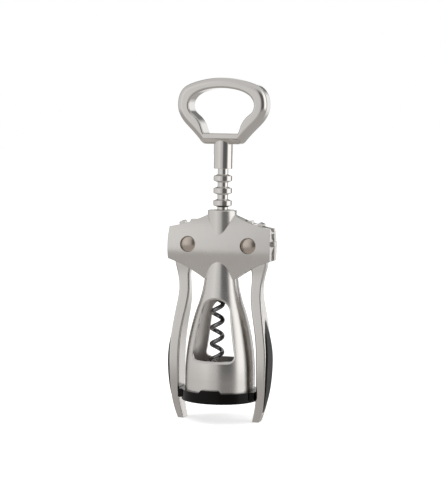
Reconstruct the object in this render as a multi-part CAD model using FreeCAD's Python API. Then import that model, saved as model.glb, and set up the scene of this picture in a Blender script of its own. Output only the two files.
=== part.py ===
import FreeCAD, Part
import math
import os

os.makedirs("parts", exist_ok=True)

# A wing corkscrew in millimetres. +Z is up along the worm's axis, the front faces -Y, and the
# origin is the centre of the bottle seat at the underside of the guide ring.

# Bottle seat and guide ring
seat_r = 15.3
seat_length = 12.0
sleeve_wall = 0.9
ring_outer_r = 19.6
ring_height = 5.3
ring_floor = 1.2
tab_rise = 1.5
tab_half_angle = 13.2
tab_slope_angle = 4.0
lug_half_width = 8.0
lug_foot = 1.0
lug_overhang = 0.45

# Bell of the frame casting
bell_rim = 1.7
bell_taper = 0.0
bell_belt_z = 12.0
bell_shoulder_r = 12.2
bell_shoulder_z = 47.0
bell_neck_r = 8.6
bell_neck_z = 62.0
bell_dome_r = 6.3
bell_dome_z = 74.0
bell_dome_swell = 0.24
bell_wall = 2.2
bell_swell = 1.35
bell_waist_dip = 0.45

# Windows in the front and back of the bell
window_sill_z = 21.2
window_half_width = 10.9
window_waist = 7.4
window_height = 30.6
window_corner = 2.6
window_bevel = 1.0
window_overcut = 0.4
rear_window_drop = 1.5

# Rack and gear teeth
module = 2.0
gear_teeth = 12
pressure_angle = 20.0
gear_addendum = 0.6
root_clearance = 0.22
backlash = 0.3
ring_thickness = 3.35
rack_tip_r = 4.75
rack_pitch_r = 3.86
rack_core_r = 2.7
rack_rings = 8
top_ring_z = 113.1
lever_sweep = 150.0
rack_tail = 4.6
rack_chamfer = 0.2
tooth_rooting = 0.6
throat_gap = 0.5

# Housing with its two cheeks
pin_z = 79.5
housing_half_width = 27.0
housing_end_top_z = 88.2
housing_end_low_z = 71.8
housing_half_thick = 8.25
housing_end_share = 0.82
housing_roof_rise = 2.6
housing_belly_drop = 4.6
slot_half = 2.8
slot_top_inset = 3.6
slot_low_inset = 4.2
tooth_tip_gap = 0.4
collar_r = 7.43
collar_top_z = 97.06
collar_round = 0.7
bush_wall = 1.25
bush_length = 7.0
bush_recess = 0.25
running_gap = 0.05

# Pivot pins
pin_r = 2.6
pin_head_r = 3.95
pin_head_depth = 1.6
pin_head_gap = 0.15
pin_dome = 1.1

# Levers and their grip pads
lever_half_thick = 2.45
lever_rest_gap = 0.3
arm_half_depth = 6.3
arm_width = 5.2
arm_tip_z = -10.6
arm_corner = 0.9
pad_half_depth = 5.6
pad_top_z = 42.5
pad_low_z = -7.6
pad_bulge = 1.0
pad_sink = 1.4
pad_end_cover = 0.1
pad_end_width = 0.8
pad_end_half_depth = 0.9
pad_corner = 0.5
peg_r = 1.3
peg_length = 1.6
peg_root = 0.4

# Handle with the bottle opener loop
bar_low_z = 130.5
bar_height = 5.4
bar_bevel = 2.9
loop_half_width = 23.4
loop_height = 33.5
loop_side_band = 6.3
loop_top_band = 5.3
loop_thick = 11.6
loop_round = 1.0
loop_outer_round = 3.0
foot_length = 12.5
spigot_length = 10.0

# Worm
wire_r = 1.15
worm_outer_r = 3.86
worm_pitch = 8.27
worm_offset = -1.83
worm_right_z = 40.6
worm_right_angle = 16.5
worm_coil_top_z = 54.5
worm_coil_low_z = 18.2
worm_lead_in = 8.5
worm_grip = 13.0
worm_point = 3.2
worm_tip_r = 0.12
lock_pin_r = 0.6

# Values that follow from the driving dimensions
bell_foot_r = ring_outer_r - bell_rim
bell_belt_r = bell_foot_r - bell_taper
tooth_pitch = math.pi * module
gear_pitch_r = module * gear_teeth / 2
gear_tip_r = gear_pitch_r + gear_addendum
gear_root_r = gear_pitch_r - (rack_tip_r - rack_pitch_r) - root_clearance
base_r = gear_pitch_r * math.cos(math.radians(pressure_angle))
flank_slope = math.tan(math.radians(pressure_angle))
gear_thickness = tooth_pitch - ring_thickness - backlash
pin_x = rack_pitch_r + gear_pitch_r
travel = gear_pitch_r * math.radians(lever_sweep)
tooth_angle = 360.0 / gear_teeth
low_ring_z = top_ring_z - (rack_rings - 1) * tooth_pitch
rack_low_z = low_ring_z - rack_tail
handle_foot_z = bar_low_z - foot_length
throat_r = rack_tip_r + throat_gap
bush_inner_r = rack_tip_r + running_gap
bush_outer_r = bush_inner_r + bush_wall
bush_low_z = collar_top_z - bush_recess - bush_length
lug_reach = ring_outer_r + lug_overhang
sleeve_r = seat_r + sleeve_wall
slot_sweep_r = gear_tip_r + tooth_tip_gap
coil_r = worm_outer_r - wire_r
beyond_x = housing_half_width + 4
beyond_y = housing_half_thick + 4
X = FreeCAD.Vector(1, 0, 0)
Y = FreeCAD.Vector(0, 1, 0)
Z = FreeCAD.Vector(0, 0, 1)


def vec(x, y, z):
    return FreeCAD.Vector(x, y, z)


def line(a, b):
    return Part.LineSegment(a, b).toShape()


def arc(a, b, c):
    return Part.Arc(a, b, c).toShape()


def spline(points):
    curve = Part.BSplineCurve()
    curve.interpolate(points)
    return curve.toShape()


def face(edges):
    return Part.Face(Part.Wire(edges))


def revolve(edges):
    return face(edges).revolve(vec(0, 0, 0), Z, 360)


def cylinder(r, low, high):
    return Part.makeCylinder(r, high - low, vec(0, 0, low), Z)


def cross_cylinder(r, x, z, front, back):
    return Part.makeCylinder(r, back - front, vec(x, front, z), Y)


def block(x0, x1, y0, y1, z0, z1):
    return Part.makeBox(x1 - x0, y1 - y0, z1 - z0, vec(x0, y0, z0))


def plate(edges, half):
    """A face in the XZ plane thickened by half to either side."""
    solid = face(edges).extrude(vec(0, 2 * half, 0))
    solid.translate(vec(0, -half, 0))
    return solid


def mirrored(shape):
    return shape.mirror(vec(0, 0, 0), X)


def one_solid(shape):
    cleaned = shape.removeSplitter()
    if cleaned.isValid():
        shape = cleaned
    return shape.Solids[0] if len(shape.Solids) == 1 else shape


def rounded(shape, radius, wanted):
    """Round the edges that wanted picks, by a hair less where the full radius can't be made."""
    edges = [edge for edge in shape.Edges if wanted(edge)]
    for share in (1.0, 0.97, 0.94):
        soft = shape.makeFillet(radius * share, edges)
        if not soft.isNull() and soft.isValid():
            return soft
    return shape


def export(name, shape):
    shape.exportStep("parts/" + name + ".step")
    box = shape.BoundBox
    print(name, len(shape.Solids), "valid", shape.isValid(), "volume %.1f" % shape.Volume,
          "x %.2f %.2f y %.2f %.2f z %.2f %.2f" % (box.XMin, box.XMax, box.YMin, box.YMax,
                                                   box.ZMin, box.ZMax))


def bell_profile(inset, low):
    """Edges of the bell's outline from its foot up to the neck, drawn in from the skin by inset."""
    foot = vec(bell_foot_r - inset, 0, low)
    belt = vec(bell_belt_r - inset, 0, bell_belt_z)
    shoulder = vec(bell_shoulder_r - inset, 0, bell_shoulder_z)
    neck = vec(bell_neck_r - inset, 0, bell_neck_z)
    swell = (belt + shoulder) * 0.5 + vec(bell_swell, 0, bell_swell / 2)
    waist = (shoulder + neck) * 0.5 + vec(-bell_waist_dip, 0, -bell_waist_dip / 2)
    return [line(foot, belt), arc(belt, swell, shoulder), arc(shoulder, waist, neck)], foot, neck


def bell_solid():
    edges, foot, neck = bell_profile(0, ring_floor)
    crown = vec(bell_dome_r, 0, bell_dome_z)
    dome = (neck + crown) * 0.5 + vec(bell_dome_swell, 0, bell_dome_swell / 4)
    top = vec(0, 0, crown.z)
    bottom = vec(0, 0, foot.z)
    edges += [arc(neck, dome, crown), line(crown, top), line(top, bottom), line(bottom, foot)]
    return revolve(edges)


def bell_cavity():
    edges, foot, neck = bell_profile(bell_wall, -1.0)
    top = vec(0, 0, neck.z)
    bottom = vec(0, 0, foot.z)
    edges += [line(neck, top), line(top, bottom), line(bottom, foot)]
    return revolve(edges).fuse(cylinder(sleeve_r, -1.0, seat_length))


def window_outline():
    """The window's outline: a level sill, rounded corners, sides that draw in and an arched top."""
    half = window_half_width
    sill = window_sill_z
    lower = sill + window_corner
    side = vec(half, 0, lower)
    spring = vec(window_waist, 0, sill + window_height * 0.78)
    arch = vec(window_waist * 0.74, 0, sill + window_height * 0.93)
    crown = vec(0, 0, sill + window_height)
    knee = window_corner * (1 - math.sqrt(0.5))
    corner = vec(half - knee, 0, sill + knee)
    start = vec(half - window_corner, 0, sill)

    def other(point):
        return vec(-point.x, 0, point.z)

    edges = [arc(start, corner, side), line(side, spring), arc(spring, arch, crown),
             arc(crown, other(arch), other(spring)), line(other(spring), other(side)),
             arc(other(side), other(corner), other(start)), line(other(start), start)]
    return Part.Wire(edges).discretize(Number=61)[:-1]


def bell_skin_r(z):
    """The bell's outer radius at a height."""
    edges = bell_profile(0, ring_floor)[0]
    level = line(vec(0, 0, z), vec(2 * bell_foot_r, 0, z))
    return min(edge.distToShape(level)[1][0][0].x for edge in edges if edge.distToShape(level)[0] < 1e-6)


def window_ring(grow, depth, level=None):
    """The window's outline grown by a margin, laid a depth under the skin or flat at a level."""
    points = window_outline()
    laid = []
    for i, point in enumerate(points):
        along = points[(i + 1) % len(points)] - points[i - 1]
        out = vec(along.z, 0, -along.x).normalize()
        if out.dot(point - vec(0, 0, window_sill_z + window_height / 2)) < 0:
            out = out * -1
        x = point.x + out.x * grow
        z = point.z + out.z * grow
        y = level if level is not None else depth - math.sqrt(bell_skin_r(z) ** 2 - x ** 2)
        laid.append(vec(x, y, z))
    curve = Part.BSplineCurve()
    curve.interpolate(Points=laid, PeriodicFlag=True)
    return Part.Wire([curve.toShape()])


def window_cutter():
    """The front window's cut: straight through the wall, with a bevel that runs out over the skin."""
    grow = window_bevel + window_overcut
    sections = [window_ring(grow, 0, -2 * bell_foot_r), window_ring(grow, -window_overcut),
                window_ring(0, window_bevel), window_ring(0, 0, -1.0)]
    return Part.makeLoft(sections, True, True)


def housing_outline():
    """The front view of the housing: a shallow roof, upright ends and a belly that runs to the neck."""
    roof_mid = vec(pin_x, 0, housing_end_top_z + housing_roof_rise)
    roof_top = vec(collar_r - 0.9, 0, collar_top_z - 2.2)
    end_top = vec(housing_half_width - 0.5, 0, housing_end_top_z)
    end_mid = vec(housing_half_width, 0, pin_z)
    end_low = vec(housing_half_width - 0.1, 0, housing_end_low_z)
    belly_mid = vec(pin_x, 0, housing_end_low_z - housing_belly_drop)
    belly_low = vec(bell_neck_r - 0.6, 0, bell_neck_z + 0.2)
    edges = [arc(roof_top, roof_mid, end_top), arc(end_top, end_mid, end_low),
             arc(end_low, belly_mid, belly_low)]
    left = [mirrored(edge) for edge in edges]
    left_top = vec(-roof_top.x, 0, roof_top.z)
    left_low = vec(-belly_low.x, 0, belly_low.z)
    return edges + left + [line(roof_top, left_top), line(belly_low, left_low)]


def housing_section(x, share):
    """One upright section of the crowned housing, its faces leaning back above and below."""
    crown = [(-20.5, 0.55), (-13.5, 0.70), (-8.5, 0.87), (-4.5, 0.985), (0.0, 1.0),
             (3.0, 0.965), (6.0, 0.87), (9.0, 0.75), (12.0, 0.57), (14.5, 0.32), (18.0, 0.1)]
    front = [vec(x, -housing_half_thick * share * part, pin_z + rise) for rise, part in crown]
    back = [vec(x, -point.y, point.z) for point in reversed(front)]
    return Part.Wire([spline(front), line(front[-1], back[0]), spline(back), line(back[-1], front[0])])


def housing_solid():
    sections = [housing_section(side * (housing_half_width + 2), share)
                for side, share in ((-1, housing_end_share), (0, 1), (1, housing_end_share))]
    pillow = Part.makeLoft(sections, True, False)
    return pillow.common(plate(Part.sortEdges(housing_outline())[0], beyond_y))


def slot_solid():
    """The room between the cheeks that the gears and lever roots sweep."""
    half = slot_half
    low = bell_neck_z - 4
    high = collar_top_z + 4
    side = cross_cylinder(slot_sweep_r, pin_x, pin_z, -half, half)
    side = side.fuse(block(pin_x - slot_low_inset, beyond_x, -half, half, low, pin_z))
    side = side.fuse(block(pin_x - slot_top_inset, beyond_x, -half, half, pin_z, high))
    return side.fuse(mirrored(side))


def head_face_y():
    """The cheek's face at a pivot, from the crown of the housing."""
    share = 1 - (1 - housing_end_share) * (pin_x / (housing_half_width + 2)) ** 2
    return housing_half_thick * share


def frame_solid():
    body = bell_solid().fuse(housing_solid())
    body = body.fuse(cylinder(collar_r, pin_z, collar_top_z))
    body = one_solid(body)
    body = rounded(body, collar_round, lambda edge: abs(edge.BoundBox.ZMin - collar_top_z) < 1e-3
                   and abs(edge.BoundBox.ZMax - collar_top_z) < 1e-3)
    body = body.cut(bell_cavity())
    window = window_cutter()
    rear_window = window.mirror(vec(0, 0, 0), Y)
    rear_window.translate(Z * -rear_window_drop)
    body = body.cut(window).cut(rear_window)
    body = body.cut(cylinder(throat_r, bell_neck_z - 4, bush_low_z + 1))
    body = body.cut(cylinder(bush_outer_r + running_gap, bush_low_z, collar_top_z + 1))
    body = body.cut(slot_solid())
    face_y = head_face_y()
    for side in (-1, 1):
        body = body.cut(cross_cylinder(pin_r, side * pin_x, pin_z, -beyond_y, beyond_y))
        for front, back in ((-beyond_y, pin_head_depth - face_y), (face_y - pin_head_depth, beyond_y)):
            body = body.cut(cross_cylinder(pin_head_r + pin_head_gap, side * pin_x, pin_z, front, back))
    return one_solid(body)


def pivot_pin(side):
    """A rivet: a plain shank with a low domed head let into each cheek."""
    face_y = head_face_y()
    shank = cross_cylinder(pin_r, side * pin_x, pin_z, pin_head_depth - face_y, face_y - pin_head_depth)
    rim = face_y - pin_dome
    dome_r = (pin_head_r ** 2 + pin_dome ** 2) / (2 * pin_dome)
    for end in (-1, 1):
        inner, outer = sorted((end * (face_y - pin_head_depth), end * (rim + pin_dome)))
        head = cross_cylinder(pin_head_r, side * pin_x, pin_z, inner, outer)
        ball = Part.makeSphere(dome_r, vec(side * pin_x, end * (rim + pin_dome - dome_r), pin_z))
        shank = shank.fuse(head.common(ball))
    return one_solid(shank)


def involute(r):
    angle = math.acos(min(1.0, base_r / r))
    return math.tan(angle) - angle


def tooth_solid(angle):
    """One involute tooth of the gear about the right pivot, centred on the given angle."""
    half_at_pitch = gear_thickness / (2 * gear_pitch_r)
    radii = [base_r + (gear_tip_r - base_r) * i / 4 for i in range(5)]
    turns = [half_at_pitch + involute(gear_pitch_r) - involute(r) for r in radii]

    def at(r, turn):
        a = math.radians(angle) + turn
        return vec(pin_x + r * math.cos(a), 0, pin_z + r * math.sin(a))

    inner = gear_root_r - tooth_rooting
    left = [at(r, turn) for r, turn in zip(radii, turns)]
    right = [at(r, -turn) for r, turn in zip(radii, turns)]
    edges = [line(at(inner, turns[0]), left[0]), spline(left), arc(left[-1], at(gear_tip_r, 0), right[-1]),
             spline(right[::-1]), line(right[0], at(inner, -turns[0])),
             line(at(inner, -turns[0]), at(inner, turns[0]))]
    return plate(edges, lever_half_thick)


def first_tooth_angle():
    """The tooth that sits in the rack's groove nearest the pivot's height at rest."""
    steps = round((top_ring_z - tooth_pitch / 2 - pin_z) / tooth_pitch)
    groove_z = top_ring_z - tooth_pitch / 2 - steps * tooth_pitch
    return 180.0 + math.degrees((pin_z - groove_z) / gear_pitch_r)


def arm_sections():
    """Height, centre, half width and half depth of the arm, from the hub down to the tip."""
    rest_x = lug_reach + lever_rest_gap
    thick = lever_half_thick
    root = [(5.5, 3.6, 4.6, thick), (13.5, 4.0, 3.5, thick), (19.0, 3.5, 2.85, thick + 0.05)]
    blade = [(55.0, -1.25, 0.54, 0.50), (47.0, -0.35, 0.54, 0.74), (37.0, 1.35, 0.50, 0.94),
             (26.0, 2.55, 0.50, 1.0), (15.0, 2.7, 0.48, 1.0), (3.0, 2.25, 0.43, 0.84),
             (-5.5, 0.9, 0.39, 0.66), (arm_tip_z, -0.5, 0.35, 0.52)]
    sections = [(pin_z - drop, pin_x + out, half_x, half_y) for drop, out, half_x, half_y in root]
    for z, out, wide, deep in blade:
        sections.append((z, rest_x + out, arm_width * wide, arm_half_depth * deep))
    return sections


def rounded_section(z, x, half_x, half_y, corner):
    """A level rectangle with round corners."""
    edges = []
    corners = [(1, 1), (-1, 1), (-1, -1), (1, -1)]
    knee = corner * (1 - math.sqrt(0.5))
    points = []
    for sx, sy in corners:
        on_y = vec(x + sx * half_x, sy * (half_y - corner), z)
        on_x = vec(x + sx * (half_x - corner), sy * half_y, z)
        middle = vec(x + sx * (half_x - knee), sy * (half_y - knee), z)
        points.append((on_y, middle, on_x) if sx * sy > 0 else (on_x, middle, on_y))
    for i, (start, middle, end) in enumerate(points):
        edges.append(arc(start, middle, end))
        edges.append(line(end, points[(i + 1) % 4][0]))
    return Part.Wire(edges)


def arm_solid():
    sections = [rounded_section(z, x, half_x, half_y, arm_corner) for z, x, half_x, half_y in arm_sections()]
    return Part.makeLoft(sections, True, False)


def arm_outer_x(z):
    """The arm's outer edge at a height, between its sections."""
    sections = arm_sections()
    for (z0, x0, w0, d0), (z1, x1, w1, d1) in zip(sections, sections[1:]):
        if z0 >= z >= z1:
            share = (z0 - z) / (z0 - z1)
            return x0 + w0 + share * (x1 + w1 - x0 - w0)
    return sections[-1][1] + sections[-1][2]


def pad_leaf(middle_z):
    """The pad's outline seen from the side: a long leaf, wide in the middle."""
    top = [vec(0, side * pad_end_half_depth, pad_top_z) for side in (1, -1)]
    low = [vec(0, side * pad_end_half_depth, pad_low_z) for side in (1, -1)]
    middle = [vec(0, side * pad_half_depth, middle_z) for side in (1, -1)]
    edges = [arc(top[0], middle[0], low[0]), line(low[0], low[1]), arc(low[1], middle[1], top[1]),
             line(top[1], top[0])]
    return face(edges).extrude(vec(2 * housing_half_width, 0, 0))


def pad_lens():
    """The pad's body: a leaf between the seat in the arm and the bulging outer face."""
    middle_z = (pad_top_z + pad_low_z) / 2
    heights = [pad_top_z + (pad_low_z - pad_top_z) * i / 6 for i in range(7)]
    swell = [1 - (2 * i / 6 - 1) ** 2 for i in range(7)]
    outer = [vec(arm_outer_x(z) - pad_end_cover + (pad_bulge + pad_end_cover) * share, 0, z)
             for z, share in zip(heights, swell)]
    inner = [vec(arm_outer_x(z) - pad_end_cover - pad_end_width - (pad_sink - pad_end_width) * share, 0, z)
             for z, share in zip(heights, swell)]
    seat = inner[3]
    edges = [spline(outer), line(outer[-1], inner[-1]), spline(inner[::-1]), line(inner[0], outer[0])]
    return plate(edges, beyond_y).common(pad_leaf(middle_z)), seat


def pad_pegs(seat):
    spread = (pad_top_z - pad_low_z) / 4
    shape = None
    for offset in (-spread, spread):
        peg = Part.makeCylinder(peg_r, peg_length + peg_root, vec(seat.x - peg_length, 0, seat.z + offset), X)
        shape = peg if shape is None else shape.fuse(peg)
    return shape


def grip_solid():
    lens, seat = pad_lens()
    outer = arm_outer_x(seat.z) + pad_bulge

    def outer_side(edge):
        middle = edge.valueAt((edge.FirstParameter + edge.LastParameter) / 2)
        return abs(middle.x - outer) < 0.3 and edge.Length > 20
    lens = rounded(lens, pad_corner, outer_side)
    return one_solid(lens.fuse(pad_pegs(seat)))


def lever_solid():
    hub = cross_cylinder(gear_root_r, pin_x, pin_z, -lever_half_thick, lever_half_thick)
    last = first_tooth_angle() + tooth_angle
    for i in range(int(lever_sweep / tooth_angle) + 3):
        hub = hub.fuse(tooth_solid(last - i * tooth_angle))
    lever = hub.fuse(arm_solid())
    lever = lever.cut(cross_cylinder(pin_r + running_gap, pin_x, pin_z, -beyond_y, beyond_y))
    lens, seat = pad_lens()
    lever = lever.cut(lens).cut(pad_pegs(seat))
    return one_solid(lever)


def guide_ring_solid():
    ring = cylinder(ring_outer_r, 0, ring_height)
    for side in (-1, 1):
        lug = block(0, lug_reach, -lug_half_width, lug_half_width, lug_foot, ring_height)
        ring = ring.fuse(lug if side > 0 else mirrored(lug))
    high = ring_height + tab_rise
    spread = math.radians(tab_half_angle)
    slope = math.radians(tab_slope_angle)
    wide = ring_outer_r * math.sin(spread + slope)
    narrow = ring_outer_r * math.sin(spread)
    points = [vec(-wide, 0, ring_height), vec(wide, 0, ring_height),
              vec(narrow, 0, high), vec(-narrow, 0, high)]
    tabs = plate([Part.makePolygon(points + points[:1])], 2 * ring_outer_r)
    ring = ring.fuse(tabs.common(cylinder(ring_outer_r, ring_height - 1, high)))
    ring = ring.fuse(cylinder(sleeve_r, 0, seat_length))
    ring = ring.cut(bell_solid().cut(cylinder(sleeve_r, 0, seat_length)))
    ring = ring.cut(cylinder(seat_r, -1, seat_length + 1))
    return one_solid(ring)


def collar_bush_solid():
    top = collar_top_z - bush_recess
    return cylinder(bush_outer_r, bush_low_z, top).cut(cylinder(bush_inner_r, bush_low_z - 1, top + 1))


def rack_profile():
    """The rack's outline from its tail up through the annular teeth to the spigot."""
    at_tip = ring_thickness - 2 * (rack_tip_r - rack_pitch_r) * flank_slope
    at_core = ring_thickness + 2 * (rack_pitch_r - rack_core_r) * flank_slope
    chamfer = rack_chamfer
    points = [(0, rack_low_z), (rack_tip_r - chamfer, rack_low_z), (rack_tip_r, rack_low_z + chamfer),
              (rack_tip_r, low_ring_z - at_tip / 2)]
    points.append((rack_tip_r, low_ring_z + at_tip / 2 - chamfer))
    points.append((rack_tip_r - chamfer, low_ring_z + at_tip / 2))
    points.append((rack_core_r, low_ring_z + at_core / 2))
    for i in range(1, rack_rings):
        z = low_ring_z + i * tooth_pitch
        points += [(rack_core_r, z - at_core / 2), (rack_tip_r - chamfer, z - at_tip / 2),
                   (rack_tip_r, z - at_tip / 2 + chamfer), (rack_tip_r, z + at_tip / 2 - chamfer),
                   (rack_tip_r - chamfer, z + at_tip / 2), (rack_core_r, z + at_core / 2)]
    top = handle_foot_z + spigot_length
    points += [(rack_core_r, top), (0, top)]
    return [vec(r, 0, z) for r, z in points]


def rack_shaft_solid():
    points = rack_profile()
    rack = Part.Face(Part.makePolygon(points + points[:1])).revolve(vec(0, 0, 0), Z, 360)
    rack = rack.cut(cylinder(wire_r, rack_low_z - 1, rack_low_z + worm_grip))
    return one_solid(rack.cut(lock_pin_solid()))


def lock_pin_z():
    return rack_low_z + rack_tail / 2


def lock_pin_solid():
    reach = math.sqrt(rack_tip_r ** 2 - lock_pin_r ** 2)
    return Part.makeCylinder(lock_pin_r, 2 * reach, vec(-reach, 0, lock_pin_z()), X)


def loop_outline(shares, low, height, half_width):
    """Right and left points of an outline, given as shares of its half width and height."""
    right = [vec(half_width * u, 0, low + height * v) for u, v in shares]
    left = [vec(-point.x, 0, point.z) for point in reversed(right)]
    return right, left


def handle_solid():
    """The opener loop with its bevelled bar and the round foot that holds the rack."""
    outer = [(0.37, 0.0), (0.435, 0.02), (0.50, 0.07), (0.575, 0.13), (0.72, 0.235),
             (0.845, 0.325), (0.93, 0.41), (0.985, 0.50), (1.0, 0.62), (0.96, 0.75),
             (0.865, 0.845), (0.70, 0.91), (0.45, 0.963), (0.20, 0.993)]
    right, left = loop_outline(outer, bar_low_z, loop_height, loop_half_width)
    crown = vec(0, 0, bar_low_z + loop_height)
    skin = spline(right + [crown] + left)
    outside = plate([skin, line(left[-1], right[0])], loop_thick / 2)
    floor_z = bar_low_z + bar_height
    inner = [(0.52, 0.0), (0.555, 0.055), (0.60, 0.16), (0.68, 0.275), (0.80, 0.38),
             (0.94, 0.475), (1.0, 0.61), (0.965, 0.73), (0.86, 0.83), (0.67, 0.915), (0.40, 0.972)]
    right, left = loop_outline(inner, floor_z, loop_height - bar_height - loop_top_band,
                               loop_half_width - loop_side_band)
    crown = vec(0, 0, bar_low_z + loop_height - loop_top_band)
    opening = plate([spline(right + [crown] + left), line(left[-1], right[0])], loop_thick)
    inner_half = loop_half_width - loop_side_band + loop_round

    def rim(edge, side, outer):
        box = edge.BoundBox
        level = side * loop_thick / 2
        flat = abs(box.YMin - level) < 1e-3 and abs(box.YMax - level) < 1e-3 and edge.Length > 1
        inside = box.XMax < inner_half and box.XMin > -inner_half and box.ZMin > bar_low_z + bar_height / 2
        return flat and inside != outer
    for side in (-1, 1):
        outside = rounded(outside, loop_outer_round, lambda edge: rim(edge, side, True))
    body = outside.cut(opening)
    for side in (-1, 1):
        body = rounded(body, loop_round, lambda edge: rim(edge, side, False))
    half = loop_thick / 2
    bevel_z = bar_low_z + bar_bevel
    for side in (-1, 1):
        outline = [(half + 1, bar_low_z - 1), (half + 1, bevel_z), (half, bevel_z),
                   (half - bar_bevel, bar_low_z), (half - bar_bevel, bar_low_z - 1)]
        corner = [vec(-loop_half_width, side * y, z) for y, z in outline]
        body = body.cut(Part.Face(Part.makePolygon(corner + corner[:1])).extrude(X * (2 * loop_half_width)))
    body = body.fuse(cylinder(rack_tip_r, handle_foot_z, bevel_z))
    body = body.cut(cylinder(rack_core_r, handle_foot_z - 1, handle_foot_z + spigot_length))
    return one_solid(body)


def worm_point_at(turn):
    """Centre line of the worm, turn counted in full turns down from the coil's top.

    x = c(z) + r(z) cos(a), y = r(z) sin(a), a = right_angle + 2 pi (z - right_z) / pitch, where r
    and c grow from nought in the lead-in by a smooth step."""
    z = worm_coil_top_z - turn * worm_pitch
    share = min(1.0, max(0.0, (worm_coil_top_z + worm_lead_in - z) / worm_lead_in))
    step = share ** 2 * (3 - 2 * share)
    angle = math.radians(worm_right_angle) + 2 * math.pi * (z - worm_right_z) / worm_pitch
    return vec(step * (worm_offset + coil_r * math.cos(angle)), step * coil_r * math.sin(angle), z)


def worm_tangent_at(turn):
    small = 1e-4
    tangent = worm_point_at(turn + small) - worm_point_at(turn - small)
    return tangent.normalize()


def biarc(p0, t0, p1, t1):
    """Two arcs that leave p0 along t0, meet smoothly and reach p1 along t1."""
    chord = p1 - p0
    both = t0 + t1
    a = 2 * (1 - t0.dot(t1))
    b = 2 * chord.dot(both)
    c = -chord.dot(chord)
    reach = -c / b if abs(a) < 1e-9 else (-b + math.sqrt(b * b - 4 * a * c)) / (2 * a)
    q0 = p0 + t0 * reach
    q1 = p1 - t1 * reach
    joint = (q0 + q1) * 0.5
    edges = []
    for start, corner, end in ((p0, q0, joint), (joint, q1, p1)):
        half = end - start
        sag = corner - (start + end) * 0.5
        if sag.Length < 1e-6:
            edges.append(line(start, end))
            continue
        angle = math.acos(max(-1.0, min(1.0, (half.Length / 2) / (corner - start).Length)))
        height = half.Length / 2 * math.tan(angle / 2)
        edges.append(arc(start, (start + end) * 0.5 + sag.normalize() * height, end))
    return edges


def worm_solid():
    shank_top = vec(0, 0, rack_low_z + worm_grip)
    first = -worm_lead_in / worm_pitch
    last = (worm_coil_top_z - worm_coil_low_z) / worm_pitch
    steps = round((last - first) * 4)
    turns = [first + (last - first) * i / steps for i in range(steps + 1)]
    points = [worm_point_at(turn) for turn in turns]
    tangents = [vec(0, 0, -1)] + [worm_tangent_at(turn) for turn in turns[1:]]
    edges = [line(shank_top, points[0])]
    for i in range(steps):
        edges += biarc(points[i], tangents[i], points[i + 1], tangents[i + 1])
    radii = [edge.Curve.Radius for edge in edges if hasattr(edge.Curve, "Radius")]
    path = Part.Wire(edges)
    section = Part.Wire([Part.makeCircle(wire_r, shank_top, vec(0, 0, -1))])
    tube = path.makePipeShell([section], True, False)
    share = tube.Volume / (math.pi * wire_r ** 2 * path.Length)
    samples = path.discretize(Number=600)
    apart = int(4 * wire_r / (path.Length / len(samples))) + 1
    gap = min((a - b).Length for i, a in enumerate(samples) for b in samples[i + apart:])
    print("worm least radius %.2f volume share %.4f least gap %.2f" % (min(radii), share, gap - 2 * wire_r))
    point = Part.makeCone(wire_r, worm_tip_r, worm_point, points[-1], tangents[-1])
    worm = one_solid(tube.fuse(point))
    return one_solid(worm.cut(lock_pin_solid()))


frame_casting = frame_solid()
right_lever = lever_solid()
right_grip = grip_solid()
nodes = {
    "frame_casting": frame_casting,
    "guide_ring": guide_ring_solid(),
    "collar_bush": collar_bush_solid(),
    "pivot_pin_right": pivot_pin(1),
    "pivot_pin_left": pivot_pin(-1),
    "lever_right": right_lever,
    "lever_left": mirrored(right_lever),
    "grip_right": right_grip,
    "grip_left": mirrored(right_grip),
    "handle_loop": handle_solid(),
    "rack_shaft": rack_shaft_solid(),
    "worm": worm_solid(),
    "worm_lock_pin": lock_pin_solid(),
}
for name, shape in nodes.items():
    export(name, shape)
print("pin x %.3f travel %.3f" % (pin_x, travel))
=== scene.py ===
# A wing corkscrew: a satin bell with two cheeks carries two toothed levers with black grip pads.
# They lift a shaft of ring teeth that has an opener loop above and a dark worm below.
import bpy
import math
from mathutils import Matrix, Vector


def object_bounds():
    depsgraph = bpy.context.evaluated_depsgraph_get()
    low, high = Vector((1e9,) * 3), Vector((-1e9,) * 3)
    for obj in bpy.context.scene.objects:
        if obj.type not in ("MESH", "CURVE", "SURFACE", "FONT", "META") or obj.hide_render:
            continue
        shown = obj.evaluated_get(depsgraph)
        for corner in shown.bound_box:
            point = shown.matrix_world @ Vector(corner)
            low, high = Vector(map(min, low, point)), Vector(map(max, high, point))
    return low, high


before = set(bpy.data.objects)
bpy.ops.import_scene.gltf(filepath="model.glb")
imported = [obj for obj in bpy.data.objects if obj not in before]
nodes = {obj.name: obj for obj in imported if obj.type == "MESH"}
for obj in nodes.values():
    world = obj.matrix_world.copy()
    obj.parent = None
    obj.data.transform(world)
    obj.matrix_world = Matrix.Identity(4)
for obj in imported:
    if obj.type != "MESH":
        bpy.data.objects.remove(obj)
cad_low, cad_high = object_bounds()
scene = bpy.context.scene
scene.view_settings.view_transform = "Standard"

# The camera's stand: a long lens a little right of the front and a little above the middle,
# rolled by just under a degree. A small shift keeps the object where the picture frames it.
look_at = Vector((0.0, 0.0, 0.0790))
distance = 0.8370
side_angle = math.radians(16.5)
rise_angle = math.radians(4.405)
roll = math.radians(0.84)
back = Vector((math.sin(side_angle) * math.cos(rise_angle),
               -math.cos(side_angle) * math.cos(rise_angle),
               math.sin(rise_angle)))
right = Vector((math.cos(side_angle), math.sin(side_angle), 0.0))
up = back.cross(right)
camera_right = right * math.cos(roll) + up * math.sin(roll)
camera_up = up * math.cos(roll) - right * math.sin(roll)
aim = Matrix((camera_right, camera_up, back)).transposed().to_4x4()

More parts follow.
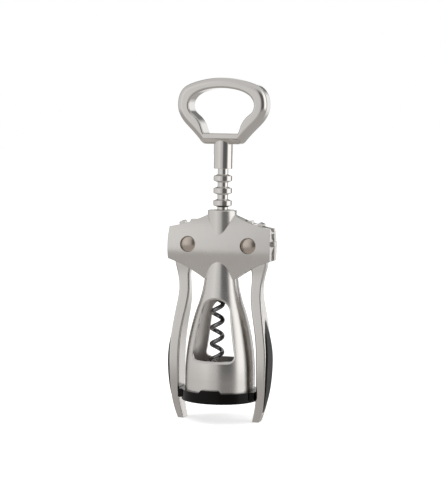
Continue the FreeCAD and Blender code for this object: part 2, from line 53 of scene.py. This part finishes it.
lens = bpy.data.cameras.new("camera")
lens.lens = 118.17
lens.sensor_width = 36.0
lens.shift_x = 0.0011
lens.shift_y = -0.0098
lens.clip_start = 0.05
lens.clip_end = 20.0
camera = bpy.data.objects.new("camera", lens)
scene.collection.objects.link(camera)
camera.matrix_world = Matrix.Translation(look_at + back * distance) @ aim
scene.camera = camera


# The studio: a room that the camera itself sees as plain white. In the metal it shows as a broad
# pale side on the left, a dark gap beside the lens, a bright panel on the right, and white paper
# straight behind the object between two dark flags.
def wire(tree, source, target):
    """Link an output socket to an input socket."""
    tree.links.new(source, target)


def math_node(tree, operation, *values):
    """A Math node whose inputs are numbers or sockets, in order."""
    node = tree.nodes.new("ShaderNodeMath")
    node.operation = operation
    for i, value in enumerate(values):
        if isinstance(value, (int, float)):
            node.inputs[i].default_value = value
        else:
            wire(tree, value, node.inputs[i])
    return node.outputs[0]


def ramp_node(tree, factor, stops):
    """A colour ramp over the stops, each a place from 0 to 1 with its grey level."""
    node = tree.nodes.new("ShaderNodeValToRGB")
    elements = node.color_ramp.elements
    while len(elements) < len(stops):
        elements.new(0.5)
    for element, (place, grey) in zip(elements, stops):
        element.position = place
        element.color = (grey, grey, grey, 1)
    wire(tree, factor, node.inputs["Fac"])
    return node.outputs["Color"]


def mix_colour(tree, share, first, second, blend="MIX"):
    """Mix two colours by a share. Each is a socket, or else a plain colour or number."""
    node = tree.nodes.new("ShaderNodeMix")
    node.data_type = "RGBA"
    node.blend_type = blend
    factor, colour_a, colour_b, mixed = node.inputs[0], node.inputs[6], node.inputs[7], 2
    for socket, value in ((factor, share), (colour_a, first), (colour_b, second)):
        if isinstance(value, (int, float)):
            socket.default_value = value
        elif isinstance(value, tuple):
            socket.default_value = (*value, 1)
        else:
            wire(tree, value, socket)
    return node.outputs[mixed]


# Each stop of the walls is a bearing in degrees, from the front and growing to the right, with
# the grey of the wall there.
walls = [(-180, 0.22), (-172, 0.22),
         (-169, 1.00), (-158, 1.00),
         (-155, 0.22), (-146, 0.22),
         (-128, 0.50), (-105, 0.68), (-60, 0.74), (-30, 0.84), (-16, 0.72), (-8, 0.65), (6, 0.56),
         (18, 0.14), (54, 0.12),
         (68, 0.34), (78, 1.30), (132, 1.30),
         (138, 0.14), (153, 0.12),
         (158, 1.05), (169, 1.00),
         (175, 0.22), (180, 0.22)]
ceiling_rise = [(0.0, 0.0), (0.45, 0.0), (0.85, 1.0)]
ceiling_grey = (0.66, 0.66, 0.66)
ground_fall = [(0.0, 0.0), (0.1, 0.0), (0.3, 1.0)]
ground_grey = (0.44, 0.425, 0.415)
plain_white = (1.0, 1.0, 1.0)

world = bpy.data.worlds.new("white room")
scene.world = world
world.use_nodes = True
room = world.node_tree
room.nodes.clear()
looking = room.nodes.new("ShaderNodeSeparateXYZ")
wire(room, room.nodes.new("ShaderNodeTexCoord").outputs["Generated"], looking.inputs[0])
east, north, height = looking.outputs
south = math_node(room, "MULTIPLY", north, -1.0)
bearing_angle = math_node(room, "ARCTAN2", east, south)
turn = math_node(room, "MULTIPLY_ADD", bearing_angle, 0.5 / math.pi, 0.5)
wall = ramp_node(room, turn, [((bearing + 180) / 360, grey) for bearing, grey in walls])
ceiling = ramp_node(room, height, ceiling_rise)
ground = ramp_node(room, math_node(room, "MULTIPLY", height, -1.0), ground_fall)
under_ceiling = mix_colour(room, ceiling, wall, ceiling_grey)
lit_room = mix_colour(room, ground, under_ceiling, ground_grey)
seen_by = room.nodes.new("ShaderNodeLightPath")
shown = mix_colour(room, seen_by.outputs["Is Camera Ray"], lit_room, plain_white)
air = room.nodes.new("ShaderNodeBackground")
wire(room, shown, air.inputs["Color"])
air.inputs["Strength"].default_value = 1.0
wire(room, air.outputs[0], room.nodes.new("ShaderNodeOutputWorld").inputs[0])

# One soft lamp overhead gives the shadow on the floor. It shows in no reflection.
panel = bpy.data.lights.new("overhead panel", "AREA")
panel.shape = "RECTANGLE"
panel.size = 1.2
panel.size_y = 0.8
panel.energy = 5.0
panel_lamp = bpy.data.objects.new("overhead panel", panel)
scene.collection.objects.link(panel_lamp)
panel_lamp.location = (-0.35, -0.25, 1.1)
panel_lamp.visible_glossy = False
towards_object = Vector((0.0, 0.0, 0.08)) - panel_lamp.location
panel_lamp.rotation_euler = towards_object.to_track_quat("-Z", "Y").to_euler()

# The pale floor under the lever tips. It is there for the lens alone, where its glow joins it to
# the white background and it takes the soft shadow. The metal sees the room's own ground instead.
floor_z = cad_low.z
floor_reach = 6.0
paper_grey = (0.8, 0.8, 0.8)
paper_glow = 0.62
floor_mesh = bpy.data.meshes.new("floor")
floor_mesh.from_pydata([(-floor_reach, -floor_reach, floor_z), (floor_reach, -floor_reach, floor_z),
                        (floor_reach, floor_reach, floor_z), (-floor_reach, floor_reach, floor_z)],
                       [], [(0, 1, 2, 3)])
floor = bpy.data.objects.new("floor", floor_mesh)
scene.collection.objects.link(floor)

paper = bpy.data.materials.new("white paper")
paper.use_nodes = True
paper_tree = paper.node_tree
paper_tree.nodes.clear()
matt = paper_tree.nodes.new("ShaderNodeBsdfDiffuse")
matt.inputs["Color"].default_value = (*paper_grey, 1)
glow = paper_tree.nodes.new("ShaderNodeEmission")
glow.inputs["Strength"].default_value = paper_glow
glowing_paper = paper_tree.nodes.new("ShaderNodeAddShader")
wire(paper_tree, matt.outputs[0], glowing_paper.inputs[0])
wire(paper_tree, glow.outputs[0], glowing_paper.inputs[1])
seen_by = paper_tree.nodes.new("ShaderNodeLightPath")
nothing = paper_tree.nodes.new("ShaderNodeBsdfTransparent")
for_lens_alone = paper_tree.nodes.new("ShaderNodeMixShader")
wire(paper_tree, seen_by.outputs["Is Camera Ray"], for_lens_alone.inputs[0])
wire(paper_tree, nothing.outputs[0], for_lens_alone.inputs[1])
wire(paper_tree, glowing_paper.outputs[0], for_lens_alone.inputs[2])
surface = paper_tree.nodes.new("ShaderNodeOutputMaterial").inputs[0]
wire(paper_tree, for_lens_alone.outputs[0], surface)
floor_mesh.materials.append(paper)


# The frame casting: bell, neck, cheeks and collar in one zinc die casting with a satin plated
# skin. Its edges are tumbled soft, and fine blasting grain breaks up what it reflects.
def satin_skin_group():
    """Grain of a blasted and plated skin: colour, roughness and height from two layers of noise.

    Clouds about 11 mm wide shade the colour by 5 percent and the roughness by 0.05 either way.
    Blast pits about 0.4 mm wide change the roughness by 0.04 either way and give the height.
    """
    group = bpy.data.node_groups.new("satin skin", "ShaderNodeTree")
    for name, kind, where in (("Colour", "NodeSocketColor", "INPUT"),
                              ("Roughness", "NodeSocketFloat", "INPUT"),
                              ("Grain", "NodeSocketFloat", "INPUT"),
                              ("Colour", "NodeSocketColor", "OUTPUT"),
                              ("Roughness", "NodeSocketFloat", "OUTPUT"),
                              ("Height", "NodeSocketFloat", "OUTPUT")):
        group.interface.new_socket(name, in_out=where, socket_type=kind)
    given = group.nodes.new("NodeGroupInput").outputs
    result = group.nodes.new("NodeGroupOutput").inputs
    place = group.nodes.new("ShaderNodeTexCoord").outputs["Object"]

    def noise(per_metre, detail, roughness):
        node = group.nodes.new("ShaderNodeTexNoise")
        node.inputs["Scale"].default_value = per_metre
        node.inputs["Detail"].default_value = detail
        node.inputs["Roughness"].default_value = roughness
        wire(group, place, node.inputs["Vector"])
        return node.outputs["Fac"]

    def spread(factor, middle, width):
        """The noise's 0 to 1 laid over a width about the middle."""
        return math_node(group, "MULTIPLY_ADD", factor, width, middle - width / 2)

    clouds = noise(90.0, 3.0, 0.55)
    pits = noise(2600.0, 2.0, 0.6)
    shade = spread(clouds, 1.0, 0.10)
    wire(group, mix_colour(group, 1.0, given["Colour"], shade, "MULTIPLY"), result["Colour"])
    uneven = math_node(group, "ADD", spread(clouds, 0.0, 0.10), spread(pits, 0.0, 0.08))
    wire(group, math_node(group, "ADD", given["Roughness"], uneven), result["Roughness"])
    wire(group, math_node(group, "MULTIPLY", pits, given["Grain"]), result["Height"])
    return group


satin_skin = satin_skin_group()
pit_depth = 0.00002


def plated(name, colour, roughness, grain, edge):
    """A plated metal: the satin skin on a metallic base, with a soft radius on its edges."""
    material = bpy.data.materials.new(name)
    material.use_nodes = True
    tree = material.node_tree
    shader = tree.nodes["Principled BSDF"]
    shader.inputs["Metallic"].default_value = 1.0
    skin = tree.nodes.new("ShaderNodeGroup")
    skin.node_tree = satin_skin
    skin.inputs["Colour"].default_value = (*colour, 1)
    skin.inputs["Roughness"].default_value = roughness
    skin.inputs["Grain"].default_value = grain
    wire(tree, skin.outputs["Colour"], shader.inputs["Base Color"])
    wire(tree, skin.outputs["Roughness"], shader.inputs["Roughness"])
    bump = tree.nodes.new("ShaderNodeBump")
    bump.inputs["Distance"].default_value = pit_depth
    wire(tree, skin.outputs["Height"], bump.inputs["Height"])
    if edge > 0:
        soft_edge = tree.nodes.new("ShaderNodeBevel")
        soft_edge.samples = 6
        soft_edge.inputs["Radius"].default_value = edge
        wire(tree, soft_edge.outputs[0], bump.inputs["Normal"])
    wire(tree, bump.outputs[0], shader.inputs["Normal"])
    return material


def dress(node, material):
    """Put one material on a CAD node."""
    mesh = nodes[node].data
    mesh.materials.clear()
    mesh.materials.append(material)


casting_finish = plated("satin casting", colour=(0.76, 0.735, 0.705), roughness=0.25,
                        grain=0.05, edge=0.0004)
dress("frame_casting", casting_finish)


def matt_inside(material, wall, top_z, wide_r, added_roughness):
    """Add roughness inside a hollow: wherever the distance from the axis is under the radius
    that wall, a list of heights and radii, gives at that height."""
    tree = material.node_tree
    shader = tree.nodes["Principled BSDF"]
    place = tree.nodes.new("ShaderNodeSeparateXYZ")
    wire(tree, tree.nodes.new("ShaderNodeTexCoord").outputs["Object"], place.inputs[0])
    x, y, z = place.outputs
    x_squared = math_node(tree, "MULTIPLY", x, x)
    y_squared = math_node(tree, "MULTIPLY", y, y)
    from_axis = math_node(tree, "SQRT", math_node(tree, "ADD", x_squared, y_squared))
    share = ramp_node(tree, math_node(tree, "DIVIDE", z, top_z),
                      [(at_z / top_z, radius / wide_r) for at_z, radius in wall])
    wall_r = math_node(tree, "MULTIPLY", share, wide_r)
    inside = math_node(tree, "LESS_THAN", from_axis, wall_r)
    outside_roughness = shader.inputs["Roughness"].links[0].from_socket
    roughness = math_node(tree, "MULTIPLY_ADD", inside, added_roughness, outside_roughness)
    wire(tree, roughness, shader.inputs["Roughness"])


# Heights and radii half way through the bell's wall, up to where the neck closes over the hollow.
bell_wall = [(0.0, 0.0168), (0.012, 0.0168), (0.0295, 0.0153),
             (0.047, 0.0111), (0.062, 0.0075), (0.0625, 0.0)]
matt_inside(casting_finish, bell_wall, top_z=0.08, wide_r=0.02, added_roughness=0.08)

# The two levers: cast arms with their gear teeth, in the same satin skin, a little smoother.
# They hang on the pivot pins between the cheeks.
lever_finish = plated("satin lever", colour=(0.735, 0.71, 0.68), roughness=0.18,
                      grain=0.06, edge=0.0004)
for side in ("left", "right"):
    dress("lever_" + side, lever_finish)

# The handle: opener loop, bar and foot in one casting, with the same skin polished brighter.
# Its foot is pressed on the shaft's spigot.
handle_finish = plated("satin handle", colour=(0.75, 0.725, 0.695), roughness=0.07,
                       grain=0.06, edge=0.0003)
dress("handle_loop", handle_finish)

# The rack shaft: turned steel with ring teeth, bright plated. It slides and turns in the bush.
shaft_finish = plated("bright shaft", colour=(0.76, 0.735, 0.71), roughness=0.08,
                      grain=0.05, edge=0.0)
dress("rack_shaft", shaft_finish)

# The collar bush: a thin nickel plated sleeve, pressed into the collar.
bush_finish = plated("plated bush", colour=(0.62, 0.60, 0.56), roughness=0.25,
                     grain=0.3, edge=0.0002)
dress("collar_bush", bush_finish)

# The two pivot pins: rivets of brownish nickel with low domed heads, let into the cheeks.
pin_finish = plated("nickel rivet", colour=(0.62, 0.545, 0.48), roughness=0.24,
                    grain=0.1, edge=0.0)
for side in ("left", "right"):
    dress("pivot_pin_" + side, pin_finish)


# The guide ring: moulded black gloss plastic, fixed under the bell's rim.
def moulded(name, colour, roughness, grain, edge, shine):
    """A moulded plastic: the satin skin's grain on a plastic base, with its own strength of
    shine."""
    material = plated(name, colour, roughness, grain, edge)
    shader = material.node_tree.nodes["Principled BSDF"]
    shader.inputs["Metallic"].default_value = 0.0
    shader.inputs["Specular IOR Level"].default_value = shine
    return material


ring_finish = moulded("black gloss moulding", colour=(0.005, 0.0045, 0.004), roughness=0.14,
                      grain=0.2, edge=0.0003, shine=0.15)
dress("guide_ring", ring_finish)

# The grip pads: charcoal mouldings with a fine matt texture, pegged to the arms' outer faces.
grip_finish = moulded("charcoal moulding", colour=(0.011, 0.010, 0.0095), roughness=0.42,
                      grain=1.2, edge=0.0003, shine=0.22)
for side in ("left", "right"):
    dress("grip_" + side, grip_finish)

# The worm: a steel wire wound to a right-hand open coil, with a dark plated skin.
# Its shank sits in the shaft's tail.
worm_finish = plated("dark worm wire", colour=(0.32, 0.32, 0.325), roughness=0.17,
                     grain=0.2, edge=0.0)
dress("worm", worm_finish)

# The lock pin: a plain steel pin across the shaft's tail and the worm's shank.
lock_finish = plated("plain steel pin", colour=(0.55, 0.55, 0.55), roughness=0.3,
                     grain=0.4, edge=0.0001)
dress("worm_lock_pin", lock_finish)
